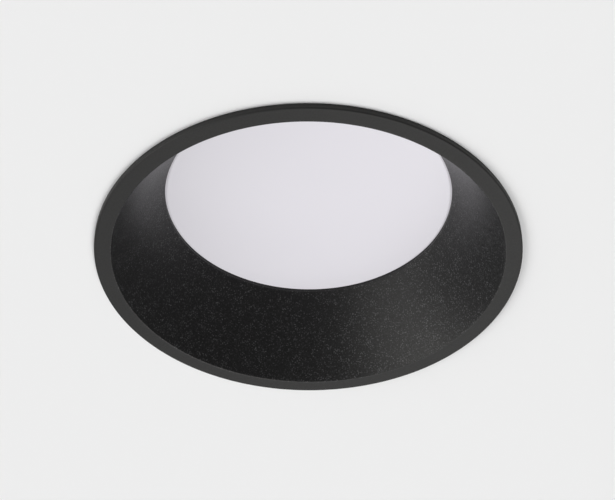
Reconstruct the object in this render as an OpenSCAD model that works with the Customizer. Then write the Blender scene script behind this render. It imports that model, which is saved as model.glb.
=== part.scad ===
// Round recessed soffit downlight with a deep conical anti-glare baffle.
// Millimetres. The origin is the centre of the soffit plane, where the back of
// the flange seats. +Z runs up into the soffit, the light shines down along -Z.
// The two spring clips lie on +X and -X. The supply cable enters the driver box
// through a gland on the +Y side, and the box's lid is hinged on the -Y side.

/* [Flange] */
// Outside diameter of the visible flange
flange_od = 165; // [163:0.5:168]
// Thickness of the flange at its outer edge
flange_edge = 2.6; // [2.2:0.1:3.2]
// Width of the flange's face, from outer edge to inner lip
face_width = 6.7; // [6.4:0.1:7.2]
// Extra drop of the inner lip below the outer edge of the face
lip_drop = 0.22; // [0:0.02:0.5]
// How far the spigot wall lies inside the flange's outer edge
spigot_inset = 5.6; // [5.4:0.1:5.8]
// Height of the spigot that passes through the soffit cut-out
spigot_h = 8; // [6:0.5:9]

/* [Baffle] */
// Height of the diffuser aperture above the soffit plane
aperture_z = 30; // [29:0.5:31]
// Half angle of the conical baffle, measured from the axis
baffle_half_angle = 30.1; // [29.7:0.1:30.5]
// Wall thickness of the baffle, measured radially
baffle_wall = 2.7; // [2.4:0.1:3]

/* [Heat sink] */
// Number of radial fins
fin_count = 40; // [32:4:44]
// Thickness of each fin
fin_t = 1.7; // [1.4:0.1:2]
// Height of the fins above the base plate
fin_h = 19; // [16:0.5:19.5]

/* [Driver box] */
// Length of the box along X
box_l = 86; // [86:1:88]
// Width of the box along Y
box_w = 68; // [68:1:69]
// Height of the box below its lid
box_h = 27; // [27:0.5:28]
// Wall thickness of the box
box_wall = 3; // [2.8:0.1:3]

/* [Spring clips] */
// Angle of the arm below the horizontal when it is released
arm_drop = 29; // [27:0.5:30]
// Length of the arm from its pivot to the end of the strip
arm_l = 40; // [38:0.5:41]
// Number of coils in the torsion spring
spring_coils = 7; // [5:1:7]

/* [Hidden] */
$fn = 96;

// Flange and baffle
fr = flange_od / 2;                                   // flange outer radius
lr = fr - face_width;                                 // inner lip radius
lz = -(flange_edge + lip_drop);                       // lip height
bt = tan(baffle_half_angle);
za = aperture_z;
ra = lr - (za - lz - 0.25) * bt;                      // aperture radius
function cone_r(z) = lr - (z - lz - 0.25) * bt;       // inner face of the baffle
function cone_o(z) = cone_r(z) + baffle_wall;         // outer face of the baffle
sr = fr - spigot_inset;                               // spigot radius
ztop = za + 5.5;                                      // top of the trim casting
rs = ra + 10.2;                                       // shoulder radius
boss_r = ra + 9.6;                                    // radius of the body screws
skirt_in = sr - 1.8;
skirt_root = (lr + baffle_wall - skirt_in) / bt + lz + 0.25;
lip_q = 0.4;                                          // rounding of the inner lip
lip_c = cone_r(lz) + lip_q * (1 - sin(baffle_half_angle)) / cos(baffle_half_angle);

// Optical stack, all above the aperture
z_dif = za + 0.7;                                     // visible face of the diffuser
z_rim = za + 5;                                       // top of the diffuser's rim
z_led = za + 16.5;                                    // underside of the LED board
z_pad = z_led + 1.6;
z_base = z_pad + 0.5;                                 // underside of the heat sink's base plate
z_top = z_base + 4.4;                                 // top of the base plate
wire_y = -20;                                         // where the LED wires pass through

// Driver box
bz = z_top;
bx = box_l / 2;
by = box_w / 2;
bc = 8;                                               // corner radius
b_floor = 2.2;
b_in = bz + b_floor;
b_top = bz + box_h;
lid_t = 4.2;
hinge_y = -by - 4;
hinge_z = b_top;
lug_x = 33;
lug_y = by + 2.5;
pcb_x = 33;
pcb_y = 23;
pcb_z = b_in + 2.8;
pcb_top = pcb_z + 1.6;
gland_z = bz + 14.5;

// Clips
xp = ra + 8.2;                                        // face of the clip pad
px = xp + 5.5;                                        // pivot
pz = za - 2;
wire_r = 0.55;
coil_r = 2.95;

// Outline of a rectangle with round corners, centred
module rounded(lx, ly, c) {
    union() {
        square([lx - 2 * c, ly], center = true);
        square([lx, ly - 2 * c], center = true);
        for (i = [-1, 1], j = [-1, 1])
            translate([i * (lx / 2 - c), j * (ly / 2 - c)]) circle(c);
    }
}

module rounded_block(lx, ly, c, z0, z1) {
    translate([0, 0, z0]) linear_extrude(z1 - z0) rounded(lx, ly, c);
}

module ring(r0, r1, z0, z1) {
    translate([0, 0, z0]) difference() {
        cylinder(r = r1, h = z1 - z0);
        translate([0, 0, -1]) cylinder(r = r0, h = z1 - z0 + 2);
    }
}

// Quarter round between two directions, as a list of points
function arc(cx, cy, r, a0, a1, n = 6) = [for (i = [0:n]) [cx + r * cos(a0 + (a1 - a0) * i / n), cy + r * sin(a0 + (a1 - a0) * i / n)]];

// Round tube through a list of points; ref is a direction the path never follows
function unit(v) = v / norm(v);
function tangent(p, i) = unit(p[min(i + 1, len(p) - 1)] - p[max(i - 1, 0)]);
module tube(p, r, ref, sides = 8) {
    n = len(p);
    pts = [for (i = [0:n - 1])
        let (t = tangent(p, i), u = unit(cross(t, ref)), v = cross(t, u))
        for (k = [0:sides - 1]) p[i] + r * (cos(360 * k / sides) * u + sin(360 * k / sides) * v)];
    walls = [for (i = [0:n - 2], k = [0:sides - 1])
        let (a = i * sides + k, b = i * sides + (k + 1) % sides, c = a + sides, d = b + sides)
        each [[a, c, b], [b, c, d]]];
    ends = [[for (k = [0:sides - 1]) k], [for (k = [sides - 1:-1:0]) (n - 1) * sides + k]];
    polyhedron(points = pts, faces = concat(walls, ends), convexity = 8);
}

// Pan-head screw, head upwards from z = 0, shank below
module pan_screw(r, l, head_r, head_h) {
    difference() {
        union() {
            translate([0, 0, -l]) cylinder(r = r, h = l + 0.1);
            cylinder(r = head_r, h = head_h * 0.6);
            translate([0, 0, head_h * 0.6]) cylinder(r1 = head_r, r2 = head_r * 0.72, h = head_h * 0.4);
        }
        for (a = [0, 90]) rotate(a) translate([-head_r * 0.52, -head_r * 0.1, head_h * 0.35]) cube([head_r * 1.04, head_r * 0.2, head_h]);
    }
}

// ---------- trim: flange, baffle and shoulder in one casting ----------
module baffle_void() {
    rotate_extrude() polygon([[0, lz - 2], [cone_r(lz - 2), lz - 2], [ra, za], [ra, za + 1.6], [0, za + 1.6]]);
}

module trim() color("#1c1c1d") {
    profile = concat(
        [[fr, 0]],
        arc(fr - 0.8, -flange_edge + 0.8, 0.8, 0, -90),
        arc(lip_c, lz + lip_q, lip_q, -90, -180 + baffle_half_angle, 4),
        [[ra, za], [ra, ztop - 2], [rs - 0.4, ztop - 2], [rs - 0.4, ztop - 4.4],
         [cone_o(za - 3.5), za - 3.5], [skirt_in, skirt_root], [skirt_in, spigot_h], [sr, spigot_h], [sr, 0],
         [sr + 1.1, 0], [sr + 1.1, -1.2], [fr - 1.3, -1.2], [fr - 1.3, 0]]);
    difference() {
        union() {
            rotate_extrude() polygon(profile);
            // shoulder plate with a lug at each body screw
            translate([0, 0, ztop - 4]) linear_extrude(4) difference() {
                union() {
                    circle(rs);
                    for (a = [45:90:315]) rotate(a) translate([boss_r, 0]) circle(4.6);
                }
                circle(ra + 3);
            }
            // bosses for the body screws
            for (a = [45:90:315]) rotate(a) translate([boss_r, 0, 0]) {
                translate([0, 0, za - 6]) cylinder(r = 4.4, h = 9);
                translate([0, 0, za - 10]) cylinder(r1 = 1.5, r2 = 4.4, h = 4.01);
            }
            // flat pads for the clip brackets
            intersection() {
                cylinder(r = rs - 0.15, h = ztop);
                for (s = [-1, 1]) translate([s * (xp - 4), 0, za - 2.25]) cube([8, 38, 13.5], center = true);
            }
        }
        baffle_void();
        translate([0, 0, za + 1.6]) cylinder(r = ra + 4.2, h = 10);
        // groove for the body seal
        ring(ra + 5, ra + 6.8, ztop - 1, ztop + 1);
        for (s = [-1, 1]) {
            translate([s > 0 ? xp : -xp - 10, -19.01, za - 9]) cube([10, 38.02, 20]);
            for (y = [-14, 14]) translate([s * (xp - 4.8), y, pz + 0.5]) rotate([0, s * 90, 0]) cylinder(r = 1.5, h = 10);
        }
        for (a = [45:90:315]) rotate(a) translate([boss_r, 0, za - 3]) cylinder(r = 2, h = 20);
    }
}

module soffit_gasket() color("#3c3d3f") ring(sr + 1.15, fr - 1.35, -1.2, 0);

// ---------- optics ----------
module diffuser() color("#ebeaf0")
    rotate_extrude() polygon(concat(
        [[0, z_dif]], arc(ra - 1.3, z_dif + 1, 1, -90, 0, 6),
        [[ra - 0.3, z_dif + 2.1], [ra + 3.9, z_dif + 2.1], [ra + 3.9, z_rim], [ra - 2.2, z_rim], [ra - 2.2, z_dif + 2.2], [0, z_dif + 2.2]]));

module diffuser_seal() color("#d9d9d4") ring(ra + 1.4, ra + 4, za + 1.6, z_dif + 2.1);

module reflector_cup() color("#f6f6f4")
    rotate_extrude() polygon([
        [ra - 1.8, z_rim], [ra + 2.8, z_rim], [ra + 2.8, z_rim + 1.2], [ra, z_rim + 1.2],
        [ra - 6.4, z_led], [ra - 7.8, z_led]]);

module led_board() color("#eef0ee") difference() {
    translate([0, 0, z_led]) cylinder(r = ra - 5.3, h = 1.6);
    translate([0, wire_y, z_led - 1]) cylinder(r = 3.4, h = 4);
    for (a = [30, 150, 270]) rotate(a) translate([34, 0, z_led - 1]) cylinder(r = 1.6, h = 4);
}

module led_packages() color("#f2dc6a")
    for (k = [[1, 0, 0], [6, 13, 0], [12, 27, 15], [20, 43, 9]], i = [0:k[0] - 1])
        rotate(k[2] + 360 * i / k[0]) translate([k[1], 0, z_led - 0.35]) cube([2.8, 3.5, 0.7], center = true);

module led_connector() color("#f4f2e9") difference() {
    translate([-4, wire_y - 3.9, z_led - 3]) cube([8, 7.8, 3]);
    for (s = [-1, 1]) translate([s * 1.7, wire_y, z_led - 2.4]) cylinder(r = 0.95, h = 4);
}

module led_board_screws() color("#b9bcc0")
    for (a = [30, 150, 270]) rotate(a) translate([34, 0, z_led]) rotate([180, 0, 0]) pan_screw(1.45, 5.2, 2.8, 1.9);

module thermal_pad() color("#8fa6b8") difference() {
    translate([0, 0, z_pad]) cylinder(r = ra - 5.3, h = 0.5);
    translate([0, wire_y, z_pad - 1]) cylinder(r = 3.4, h = 4);
    for (a = [30, 150, 270]) rotate(a) translate([34, 0, z_pad - 1]) cylinder(r = 1.6, h = 4);
}

// ---------- heat sink ----------
module fins() {
    step = 360 / fin_count;
    for (i = [0:fin_count - 1]) rotate(i * step + step / 2)
        translate([0, fin_t / 2, 0]) rotate([90, 0, 0]) linear_extrude(fin_t)
            polygon([[ra + 4.6, ztop + 2], [rs + 1, ztop + 2], [rs + 1, z_top + fin_h - 4], [rs - 3, z_top + fin_h],
                     [36, z_top + fin_h], [36, z_top - 1], [ra + 4.6, z_top - 1]]);
}

// Cup over the light engine, with the shoulder and lugs that meet the trim
module heat_sink_core() {
    translate([0, 0, ztop + 1]) cylinder(r = ra + 5.8, h = z_top - ztop - 1);
    translate([0, 0, ztop]) linear_extrude(3) union() {
        difference() {
            circle(rs);
            for (s = [-1, 1]) translate([s * (xp + 5), 0]) square([10, 38.02], center = true);
        }
        for (a = [45:90:315]) rotate(a) translate([boss_r, 0]) circle(4.4);
    }
}

module screw_pockets()
    for (a = [45:90:315]) rotate(a) translate([boss_r, 0, 0]) {
        translate([0, 0, ztop + 3]) cylinder(r = 5, h = 60);
        translate([0, 0, ztop - 1]) cylinder(r = 2.2, h = 6);
    }

module heat_sink() color("#2b2c2e") difference() {
    heat_sink_core();
    // chamber for the light engine
    translate([0, 0, ztop - 1]) cylinder(r = ra + 3.2, h = z_base - ztop + 1);
    screw_pockets();
    for (a = [30, 150, 270]) rotate(a) translate([34, 0, z_base - 1]) cylinder(r = 1.5, h = 4.2);
    translate([0, wire_y, z_base - 1]) cylinder(r = 4.3, h = 8);
    for (i = [-1, 1], j = [-1, 1]) translate([i * 36, j * 27, z_top - 3]) cylinder(r = 1.5, h = 4);
    translate([-20, -27, z_top - 3]) cylinder(r = 1.5, h = 4);
}

// Separate blades, brazed to the core's wall and top
module heat_sink_fins() color("#303234") difference() {
    fins();
    heat_sink_core();
    // room for the driver box
    rounded_block(box_l + 3, box_w + 3, bc + 1.5, z_top - 1, z_top + 40);
    // spanner room at the cable gland
    translate([-15, by - 2, z_top]) cube([30, 60, 40]);
    screw_pockets();
}

module body_seal() color("#33343a") ring(ra + 5.05, ra + 6.75, ztop - 1, ztop);

module body_screws() color("#c3c6ca")
    for (a = [45:90:315]) rotate(a) translate([boss_r, 0, ztop + 3]) pan_screw(1.95, 10.5, 3.7, 2.6);

module wire_grommet() color("#2a2a2c") difference() {
    union() {
        translate([0, wire_y, z_base + 0.2]) cylinder(r = 4.2, h = b_in - z_base - 0.1);
        translate([0, wire_y, b_in]) cylinder(r = 5.6, h = 1.2);
    }
    translate([0, wire_y, z_base - 1]) cylinder(r = 2.8, h = 12);
}

module led_wires() for (s = [-1, 1]) color(s > 0 ? "#b3231c" : "#1d1d1f")
    translate([s * 1.7, wire_y, z_led - 2.3]) cylinder(r = 0.9, h = pcb_z - z_led + 2.3, $fn = 32);

// ---------- driver box ----------
module driver_box() color("#232426") difference() {
    union() {
        rounded_block(box_l, box_w, bc, bz, b_top);
        for (i = [-1, 1]) {
            // screw lugs for the lid
            translate([i * lug_x, lug_y, b_top - 7]) cylinder(r = 4.2, h = 7);
            translate([i * lug_x - 4.2, by - 1, b_top - 7]) cube([8.4, 3.5, 7]);
            // hinge knuckles
            translate([i * 20 - 4, hinge_y, hinge_z]) rotate([0, 90, 0]) cylinder(r = 3, h = 8);
            translate([i * 20 - 4, hinge_y, hinge_z - 3]) cube([8, 4.5, 3]);
        }
    }
    difference() {
        rounded_block(box_l - 2 * box_wall, box_w - 2 * box_wall, bc - box_wall, b_in, b_top + 1);
        // posts under the driver board
        for (i = [-1, 1], j = [-1, 1]) translate([i * 29.5, j * 19.5, b_in - 1]) cylinder(r = 3, h = pcb_z - b_in + 1);
    }
    for (i = [-1, 1], j = [-1, 1]) {
        translate([i * 29.5, j * 19.5, b_in - 1]) cylinder(r = 1.2, h = 10);
        translate([i * 36, j * 27, bz - 1]) cylinder(r = 1.7, h = 6);
    }
    translate([-20, -27, bz - 1]) cylinder(r = 1.7, h = 6);
    translate([0, wire_y, bz - 1]) cylinder(r = 4.3, h = 6);
    // cable gland
    translate([0, by + 5, gland_z]) rotate([90, 0, 0]) cylinder(r = 8.1, h = 12);
    // groove for the lid seal
    difference() {
        rounded_block(box_l - 1.6, box_w - 1.6, bc - 0.8, b_top - 1, b_top + 1);
        rounded_block(box_l - 4.2, box_w - 4.2, bc - 2.1, b_top - 2, b_top + 2);
    }
    // lid screws, with room to swing out
    for (i = [-1, 1]) translate([i * lug_x, lug_y, b_top - 6]) cylinder(r = 2.05, h = 8);
    translate([-40, hinge_y, hinge_z]) rotate([0, 90, 0]) cylinder(r = 1.3, h = 80);
}

module driver_box_screws() color("#b9bcc0")
    for (i = [-1, 1], j = [-1, 1]) translate([i * 36, j * 27, b_in]) pan_screw(1.45, 5, 2.8, 1.9);

module lid_seal() color("#3a3b3f") difference() {
    rounded_block(box_l - 1.7, box_w - 1.7, bc - 0.85, b_top - 1, b_top);
    rounded_block(box_l - 4.1, box_w - 4.1, bc - 2.05, b_top - 2, b_top + 1);
}

module lid_hinge_pin() color("#c3c6ca") translate([-33, hinge_y, hinge_z]) rotate([0, 90, 0]) cylinder(r = 1.25, h = 66);

module lid() color("#232426") difference() {
    union() {
        difference() {
            rounded_block(box_l, box_w, bc, b_top + 0.05, b_top + lid_t);
            rounded_block(box_l - 2 * box_wall, box_w - 2 * box_wall, bc - box_wall, b_top - 1, b_top + lid_t - 2);
        }
        // raised panel
        rounded_block(box_l - 16, box_w - 16, 5, b_top + lid_t - 0.1, b_top + lid_t + 1);
        for (i = [-1, 1]) {
            translate([i * lug_x, lug_y, b_top + 0.05]) cylinder(r = 4.2, h = lid_t - 0.05);
            translate([i * lug_x - 4.2, by - 1, b_top + 0.05]) cube([8.4, 3.5, lid_t - 0.05]);
            translate([i * 28.4 - 4, hinge_y, hinge_z]) rotate([0, 90, 0]) cylinder(r = 3, h = 8);
            translate([i * 28.4 - 4, hinge_y, hinge_z + 0.05]) cube([8, 4.5, 2.95]);
        }
    }
    for (i = [-1, 1]) translate([i * lug_x, lug_y, b_top - 1]) cylinder(r = 1.6, h = 8);
    translate([-40, hinge_y, hinge_z]) rotate([0, 90, 0]) cylinder(r = 1.3, h = 80);
}

module lid_screws() color("#c3c6ca")
    for (i = [-1, 1]) translate([i * lug_x, lug_y, b_top + lid_t]) pan_screw(1.5, lid_t + 5.3, 2.8, 2);

// ---------- driver ----------
module driver_board() color("#2c6e45") difference() {
    translate([0, 0, pcb_z]) linear_extrude(1.6) rounded(2 * pcb_x, 2 * pcb_y, 1.5);
    for (i = [-1, 1], j = [-1, 1]) translate([i * 29.5, j * 19.5, pcb_z - 1]) cylinder(r = 1.4, h = 4);
}

module driver_board_screws() color("#b9bcc0")
    for (i = [-1, 1], j = [-1, 1]) translate([i * 29.5, j * 19.5, pcb_top]) pan_screw(1.15, 5, 2.3, 1.5);

module transformer_core() color("#3c3b3a") translate([-15, -8, pcb_top]) difference() {
    translate([-9, -7, 0]) cube([18, 14, 15.8]);
    translate([-5.5, -8, 3.4]) cube([3, 16, 9.4]);
    translate([2.5, -8, 3.4]) cube([3, 16, 9.4]);
}

module transformer_winding() color("#d8b13c") translate([-15, -8, pcb_top + 3.5]) difference() {
    linear_extrude(9.2) rounded(10.8, 20.4, 2.6);
    translate([-2.6, -7.1, -1]) cube([5.2, 14.2, 12]);
}

module input_capacitor() color("#22324f") translate([8, -12, pcb_top]) {
    cylinder(r = 5.2, h = 15);
    translate([0, 0, 15]) cylinder(r1 = 5.2, r2 = 4.7, h = 0.5);
}

module output_capacitors() color("#2b2c52")
    for (y = [-15, -5]) translate([24, y, pcb_top]) {
        cylinder(r = 4.1, h = 12);
        translate([0, 0, 12]) cylinder(r1 = 4.1, r2 = 3.7, h = 0.4);
    }

module choke_core() color("#4d5a52") translate([-22.5, 11.5, pcb_top + 6.4]) rotate([90, 0, 0])
    translate([0, 0, -2.4]) ring(3.2, 5.6, 0, 4.8);

module choke_winding() color("#b5652c") translate([-22.5, 11.5, pcb_top + 6.4]) rotate([90, 0, 0])
    for (a = [20:20:160], s = [0, 180]) rotate(a + s) translate([4.4, 0, 0]) difference() {
        cube([3.6, 1, 6.4], center = true);
        cube([2.5, 2, 4.9], center = true);
    }

module fuse() color("#d8d5cc") translate([-6.5, 4, pcb_top + 3]) rotate([0, 90, 0]) union() {
    cylinder(r = 2.6, h = 2);
    translate([0, 0, 2]) cylinder(r = 2.2, h = 8);
    translate([0, 0, 10]) cylinder(r = 2.6, h = 2);
    translate([2.4, -0.5, 0.6]) cube([0.6, 1, 0.8]);
    translate([2.4, -0.5, 10.6]) cube([0.6, 1, 0.8]);
}

module varistor() color("#2f6db0") translate([24, 12, pcb_top]) {
    translate([0, 1.8, 6.4]) rotate([90, 0, 0]) cylinder(r = 4.6, h = 3.6);
    for (s = [-1, 1]) translate([s * 2.5, 0, 0]) cylinder(r = 0.4, h = 3.2, $fn = 24);
}

module bridge_rectifier() color("#202124") translate([13, 2, pcb_top]) {
    translate([-4, -3, 0.6]) cube([8, 6, 2.4]);
    for (x = [-2.6, 2.6], s = [-1, 1]) translate([x - 0.5, s > 0 ? 2.9 : -4.3, 0]) cube([1, 1.4, 1.2]);
}

module terminal_block() color("#e6e4dc") difference() {
    translate([-15, 9, pcb_top]) cube([30, 10, 13]);
    for (x = [-10, 0, 10]) {
        translate([x, 14, pcb_top + 5.4]) cylinder(r = 2.45, h = 10);
        translate([x, 20, pcb_top + 4.4]) rotate([90, 0, 0]) cylinder(r = 2, h = 8);
    }
    for (x = [-5, 5]) translate([x - 0.5, 8, pcb_top + 9.5]) cube([1, 12, 5]);
}

module terminal_screws() color("#c8b45a")
    for (x = [-10, 0, 10]) translate([x, 14, pcb_top + 6]) difference() {
        cylinder(r = 2.4, h = 4.6);
        translate([-3, -0.4, 3.6]) cube([6, 0.8, 3]);
    }

module earth_tag() color("#c8a64e") difference() {
    translate([-20, -27, b_in]) union() {
        cylinder(r = 3.5, h = 0.8);
        translate([-8.4, -1.5, 0]) cube([8.4, 3, 0.8]);
        translate([-8.8, 0, 1.5]) rotate([0, 90, 0]) cylinder(r = 1.5, h = 4.2);
    }
    translate([-20, -27, b_in - 1]) cylinder(r = 1.7, h = 6);
    translate([-30, -27, b_in + 1.5]) rotate([0, 90, 0]) cylinder(r = 0.9, h = 6.2);
}

module earth_screw() color("#4f9b57") translate([-20, -27, b_in + 0.8]) pan_screw(1.45, 5.8, 2.9, 2);

// The wire leaves the tag's barrel, runs up beside the driver board and over to the terminal block
earth_path = [
    [-25.5, -27, b_in + 1.5], [-28.8, -27, b_in + 1.5], [-31, -26.9, b_in + 2.4], [-32.8, -26.5, b_in + 4],
    [-34.6, -25.4, b_in + 5.8], [-36.2, -23.4, b_in + 7.6], [-37, -20.4, b_in + 9], [-37.3, -16, b_in + 10],
    [-37.3, -9, b_in + 10.8], [-37.2, 0, b_in + 11.2], [-36.8, 9, b_in + 11.1], [-35.6, 16, b_in + 10.8],
    [-32.6, 21, b_in + 10.4], [-28, 23.8, b_in + 10], [-22, 24.9, b_in + 9.6], [-16, 24.6, b_in + 9.2],
    [-12.2, 23, b_in + 8.9], [-10.4, 20.6, b_in + 8.8], [-10, 18, b_in + 8.8], [-10, 15.5, b_in + 8.8]
];
module earth_wire() color("#7fae2f") tube(earth_path, 0.85, [0.3, 0.2, 1]);

// ---------- cable gland on the +Y wall ----------
module along_y(y0) { translate([0, y0, gland_z]) rotate([-90, 0, 0]) children(); }
module hexagon(af, h) { rotate(0) cylinder(r = af / 2 / cos(30), h = h, $fn = 6); }

module gland_body() color("#2a2b2d") difference() {
    union() {
        along_y(by - 7.5) cylinder(r = 7.95, h = 10);
        along_y(by + 1.5) hexagon(22, 5);
        along_y(by + 6) cylinder(r = 8.9, h = 9);
    }
    along_y(by - 9) cylinder(r = 5.8, h = 40);
    along_y(by + 3) cylinder(r = 7.6, h = 40);
}

module gland_washer() color("#1a1a1b") difference() {
    along_y(by) cylinder(r = 10.6, h = 1.5);
    along_y(by - 1) cylinder(r = 8.1, h = 4);
}

module gland_locknut() color("#2a2b2d") difference() {
    along_y(by - box_wall - 3.5) hexagon(19, 3.5);
    along_y(by - box_wall - 4.5) cylinder(r = 8.1, h = 6);
}

module gland_seal() color("#58595c") difference() {
    union() {
        along_y(by + 3.1) cylinder(r = 7.5, h = 10.4);
        along_y(by + 13.5) cylinder(r1 = 7.5, r2 = 6.9, h = 1.9);
    }
    along_y(by) cylinder(r = 4, h = 20);
}

module gland_thrust_ring() color("#9a9b9d") difference() {
    along_y(by + 15.5) cylinder(r = 7.4, h = 1.2);
    along_y(by + 14) cylinder(r = 5.3, h = 4);
}

module gland_nut() color("#2a2b2d") difference() {
    union() {
        along_y(by + 7) hexagon(22, 8);
        along_y(by + 15) cylinder(r1 = 10.6, r2 = 9.6, h = 3);
        along_y(by + 18) cylinder(r1 = 9.6, r2 = 6.8, h = 3);
    }
    along_y(by + 6) cylinder(r = 9, h = 9.2);
    along_y(by + 15.1) cylinder(r = 7.6, h = 1.65);
    along_y(by + 14) cylinder(r = 5.3, h = 12);
}

// ---------- spring clips ----------
// Drawn for the +X side; mirrored for the -X side.
module clip_bracket() color("#b7babd") difference() {
    union() {
        translate([xp, -18, pz - 5.5]) cube([1.2, 36, 11.5]);
        // stop that the released arm rests on
        translate([xp, -5, pz - 6.7]) cube([1.2, 10, 2]);
        translate([xp, -5, pz - 6.7]) cube([3.8, 10, 1.2]);
        for (y = [-9.8, 8.6]) translate([0, y + 1.2, 0]) rotate([90, 0, 0]) linear_extrude(1.2) union() {
            translate([xp + 0.6, pz - 4.5]) square([px - xp - 0.6, 9]);
            translate([px, pz]) circle(r = 4.5);
        }
    }
    translate([px, -12, pz]) rotate([-90, 0, 0]) cylinder(r = 1.55, h = 24);
    for (y = [-14, 14]) translate([xp - 1, y, pz + 0.5]) rotate([0, 90, 0]) cylinder(r = 1.6, h = 4);
}

module clip_screws() color("#c3c6ca")
    for (y = [-14, 14]) translate([xp + 1.2, y, pz + 0.5]) rotate([0, 90, 0]) pan_screw(1.45, 5.4, 2.8, 1.9);

module clip_pin() color("#8d9094") translate([px, 0, pz]) rotate([90, 0, 0]) union() {
    translate([0, 0, -10]) cylinder(r = 1.5, h = 20);
    for (s = [-1, 1]) translate([0, 0, s > 0 ? 9.85 : -10.95]) cylinder(r = 2.6, h = 1.1);
}

// Released arm: local +X runs out along the arm, local +Z is the arm's upper side
module at_pivot() { translate([px, 0, pz]) rotate([0, arm_drop, 0]) children(); }

module clip_arm() color("#c2c5c8") at_pivot() difference() {
    union() {
        translate([0.6, -8.2, -5.4]) cube([arm_l - 6, 16.4, 1.2]);
        // tongue that carries the pad
        translate([arm_l - 6, -6, -5.4]) cube([6, 12, 1.2]);
        for (y = [-8.2, 7]) translate([0, y + 1.2, 0]) rotate([90, 0, 0]) linear_extrude(1.2) union() {
            circle(r = 4);
            polygon([[0.6, -5.4], [arm_l - 6, -5.4], [arm_l - 6, -3.6], [arm_l - 9, -2.8], [9, 1], [1, 3.85], [-2, -3.4]]);
        }
    }
    translate([0, -12, 0]) rotate([-90, 0, 0]) cylinder(r = 1.56, h = 24);
    // lightening slot with round ends
    for (x = [16, 29]) translate([x, 0, -7]) cylinder(r = 2.2, h = 4, $fn = 48);
    translate([16, -2.2, -7]) cube([13, 4.4, 4]);
}

module clip_pad() color("#e9e9e6") at_pivot() difference() {
    union() {
        translate([arm_l + 3, 7.6, -2.7]) rotate([90, 0, 0]) cylinder(r = 3.2, h = 15.2);
        translate([arm_l - 5, -7.6, -5.9]) cube([8, 15.2, 3.6]);
    }
    // slot for the end of the strip
    translate([arm_l - 6, -6.05, -5.42]) cube([6.05, 12.1, 1.24]);
    // grip grooves round the tip
    for (y = [-5:2.5:5]) translate([arm_l + 3, y + 0.4, -2.7]) rotate([90, 0, 0]) difference() {
        ring(2.75, 5, 0, 0.8);
        translate([-11.5, -6, -1]) cube([10, 12, 3]);
    }
}

// Torsion spring: one leg up the bracket's plate, the coil round the pin, one leg along the arm
coil_y0 = -4.6;
coil_pitch = 1.25;
function coil_point(a, y) = [px + coil_r * cos(a), y, pz + coil_r * sin(a)];
function along_arm(s, y, z) = [px + s * cos(arm_drop) + z * sin(arm_drop), y, pz - s * sin(arm_drop) + z * cos(arm_drop)];
module clip_spring() color("#a9adb2") {
    turn = 360 * spring_coils + 90 - arm_drop;          // from the bracket leg to the arm leg
    steps = round(turn / 22.5);
    y1 = coil_y0 + coil_pitch * turn / 360;
    tube(concat(
        [[px - coil_r - 0.72, coil_y0, pz + 6.4], [px - coil_r - 0.7, coil_y0, pz + 4.8], [px - coil_r - 0.4, coil_y0, pz + 2.8], [px - coil_r - 0.1, coil_y0, pz + 1.2]],
        [for (i = [0:steps]) coil_point(180 + turn * i / steps, coil_y0 + coil_pitch * turn / 360 * i / steps)],
        [for (p = [[1.5, -coil_r], [5, -3.08], [9, -3.32], [14, -3.55], [20, -3.62], [26, -3.62]]) along_arm(p[0], y1, p[1])]
    ), wire_r, [0, 1, 0]);
}

trim();
soffit_gasket();
diffuser();
diffuser_seal();
reflector_cup();
led_board();
led_packages();
led_connector();
led_board_screws();
thermal_pad();
heat_sink();
heat_sink_fins();
body_seal();
body_screws();
wire_grommet();
led_wires();
driver_box();
driver_box_screws();
driver_board();
driver_board_screws();
transformer_core();
transformer_winding();
input_capacitor();
output_capacitors();
choke_core();
choke_winding();
fuse();
varistor();
bridge_rectifier();
terminal_block();
terminal_screws();
earth_tag();
earth_screw();
earth_wire();
lid_seal();
lid_hinge_pin();
lid();
lid_screws();
gland_body();
gland_washer();
gland_locknut();
gland_seal();
gland_thrust_ring();
gland_nut();
clip_bracket();  // clip_bracket_right
clip_screws();  // clip_screws_right
clip_pin();  // clip_pin_right
clip_spring();  // clip_spring_right
clip_arm();  // clip_arm_right
clip_pad();  // clip_pad_right
mirror([1, 0, 0]) clip_bracket();  // clip_bracket_left
mirror([1, 0, 0]) clip_screws();  // clip_screws_left
mirror([1, 0, 0]) clip_pin();  // clip_pin_left
mirror([1, 0, 0]) clip_spring();  // clip_spring_left
mirror([1, 0, 0]) clip_arm();  // clip_arm_left
mirror([1, 0, 0]) clip_pad();  // clip_pad_left
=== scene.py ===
import math

import bmesh
import bpy
import numpy as np
from mathutils import Matrix, Vector


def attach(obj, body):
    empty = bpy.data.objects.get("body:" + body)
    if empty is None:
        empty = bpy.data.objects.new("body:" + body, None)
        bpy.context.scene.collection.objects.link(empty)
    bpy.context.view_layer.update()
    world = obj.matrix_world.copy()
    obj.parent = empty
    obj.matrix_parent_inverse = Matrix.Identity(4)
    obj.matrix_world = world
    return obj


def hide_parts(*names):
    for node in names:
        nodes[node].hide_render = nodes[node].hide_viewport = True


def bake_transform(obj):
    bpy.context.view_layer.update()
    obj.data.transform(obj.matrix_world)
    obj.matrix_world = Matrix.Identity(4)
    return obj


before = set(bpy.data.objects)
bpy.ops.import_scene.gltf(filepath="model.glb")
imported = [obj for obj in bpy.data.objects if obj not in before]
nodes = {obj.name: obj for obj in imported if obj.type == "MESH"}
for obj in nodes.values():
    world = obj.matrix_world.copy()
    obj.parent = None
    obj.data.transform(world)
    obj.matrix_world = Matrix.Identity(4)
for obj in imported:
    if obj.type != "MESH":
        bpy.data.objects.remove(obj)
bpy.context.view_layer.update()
MM = 0.001

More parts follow.
